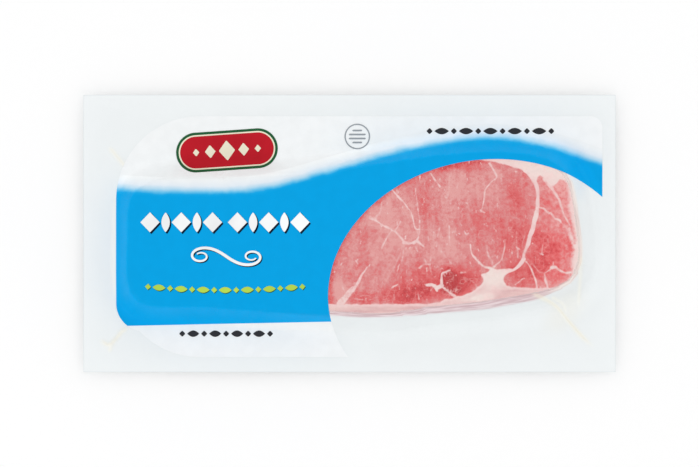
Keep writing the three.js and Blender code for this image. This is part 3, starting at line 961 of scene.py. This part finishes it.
def rasher_fields(points, ring, k):
    """What the bacon's material needs to know at flat points of rasher k, and how far in they are."""
    rim = -outside_by(points, ring)
    moved = points - (ring.mean(0) - RINGS[0].mean(0))
    warp = np.stack([waves(points, 30 + k, 34), waves(points, 60 + k, 34)], 1)
    moved = moved + warp * min(k, 4) * STRAY
    wobble = np.stack([waves(points, 91, 7), waves(points, 92, 7)], 1)
    moved = moved + 0.22 * wobble
    out_of_lean = outside_by(moved, rounded(LEAN, 4, closed=True))
    softness = 0.75 + 1.3 * smooth(moved[:, 0], 104, 110)
    fat = np.maximum(smooth(out_of_lean, -softness, softness), specks(moved))
    uneven = waves(points, 95, 5)
    for line, start, end, strength in SEAMS:
        curve = rounded(line, 5)
        near = ((moved > curve.min(0) - 4) & (moved < curve.max(0) + 4)).all(1)
        d, share = to_line(moved[near], curve)
        half = start + (end - start) * share + SEAM_SWELL + 0.1 * uneven[near]
        level = strength * (1 + 0.15 * uneven[near])
        fat[near] = np.maximum(fat[near], level * (1 - smooth(d, half - 0.35, half + 0.4)))
    low = smooth(-moved[:, 1], 20, 25)
    cream = np.clip(patches(moved, CREAM_PATCHES), 0, 1)
    # Painted shade: the lean is redder and darker just inside the window's edge, as if shaded by the
    # print's edge.
    painted_shade_at_window_edge = smooth(out_of_window(points), -3.0, -0.3)
    return {
        "fat": fat,
        "red": LEAN_RED + patches(moved, RED_PATCHES) + WINDOW_EDGE_PAINTED_SHADE * painted_shade_at_window_edge,
        "rind": low * (1 - cream) * smooth(out_of_lean, 0.4, 1.8),
        "cream": cream,
        "under": np.full(len(points), 0.0 if k == 0 else 1.0),
    }, rim


def add_rasher(k, material):
    """A slice with soft round edges.

    Only the last slice's underside shows, so the others have a plain one, and only the first
    slice's top shows, so the others are fine at their right and front edges alone.
    """
    ring = RINGS[k]
    low, high = ring.min(0) - 1, ring.max(0) + 1
    if k == 0:
        lines = (spread(low[0], high[0], *TOP_STEPS, WINDOW_LEFT, high[0]),
                 spread(low[1], high[1], TOP_STEPS[1]))
    elif k == LAST:
        lines = spread(low[0], high[0], LAST_STEP), spread(low[1], high[1], LAST_STEP)
    else:
        lines = (spread(low[0], high[0], *LOW_STEPS, high[0] - SHOWN_EDGES[0], high[0]),
                 spread(low[1], high[1], *LOW_STEPS, low[1], low[1] + SHOWN_EDGES[1]))
    points, faces = clip(grid(*lines), lambda p: 0.25 * waves(p, 70 + k, 9) - 0.2 - outside_by(p, ring))
    fields, rim = rasher_fields(points, ring, k)
    lie = relief(points)
    round_off = EDGE_DROP * SLICE * np.exp(-np.maximum(rim, 0) / EDGE_ROUND)
    top = slice_top(k) + lie - round_off + 0.05 * fields["fat"] - 0.06
    bottom = np.minimum(slice_top(k + 1) + lie + round_off, top - 0.1)

    loop = rim_loop(faces)
    low_points = np.arange(len(points)) if k == LAST else loop
    number = np.zeros(len(points), int)
    number[low_points] = len(points) + np.arange(len(low_points))
    solid = np.concatenate([
        np.column_stack([points, top]),
        np.column_stack([points, bottom])[low_points],
    ])
    after = np.roll(loop, -1)
    walls = np.stack([after, loop, number[loop], number[after]], 1)
    underside = number[faces[:, ::-1]].tolist() if k == LAST else [number[loop[::-1]].tolist()]
    attributes = {key: np.concatenate([value, value[low_points]]) for key, value in fields.items()}
    make_piece(f"bacon_rasher_{k + 1}", solid, faces.tolist() + walls.tolist() + underside, material,
               [RASHERS[k]], attributes)


def add_stage():
    mesh = bpy.data.meshes.new("floor")
    side = FLOOR_HALF
    mesh.from_pydata([(-side, -side, 0), (side, -side, 0), (side, side, 0), (-side, side, 0)], [],
                     [(0, 1, 2, 3)])
    floor = bpy.data.objects.new("floor", mesh)
    bpy.context.scene.collection.objects.link(floor)
    n = Nodes("floor")
    mesh.materials.append(n.set(Base_Color=srgb(250, 250, 250), Roughness=0.9))

    world = bpy.data.worlds.new("studio")
    bpy.context.scene.world = world
    world.use_nodes = True
    background = world.node_tree.nodes["Background"].inputs
    background["Color"].default_value = (1, 1, 1, 1)
    background["Strength"].default_value = WORLD_LIGHT
    for name, place, size, power in LAMPS:
        light = bpy.data.lights.new(name, "AREA")
        light.size = size
        light.energy = power
        lamp = bpy.data.objects.new(name, light)
        lamp.location = place
        lamp.rotation_euler = (-Vector(place)).to_track_quat("-Z", "Y").to_euler()
        bpy.context.scene.collection.objects.link(lamp)
    bpy.context.scene.view_settings.view_transform = "Standard"


def add_camera():
    """Square on to the printed side, as in the photograph, from far off."""
    data = bpy.data.cameras.new("camera")
    data.sensor_width = 36
    data.lens = data.sensor_width * CAMERA_HEIGHT / PICTURE_WIDTH
    camera = bpy.data.objects.new("camera", data)
    camera.location = (0, 0, CAMERA_HEIGHT + AIM_HEIGHT)
    camera.rotation_euler = (0, 0, 0)
    bpy.context.scene.collection.objects.link(camera)
    bpy.context.scene.camera = camera


add_camera()
add_stage()
add_films(film_material())
add_print()
add_marks()
bacon = bacon_material()
for k in range(len(RASHERS)):
    add_rasher(k, bacon)
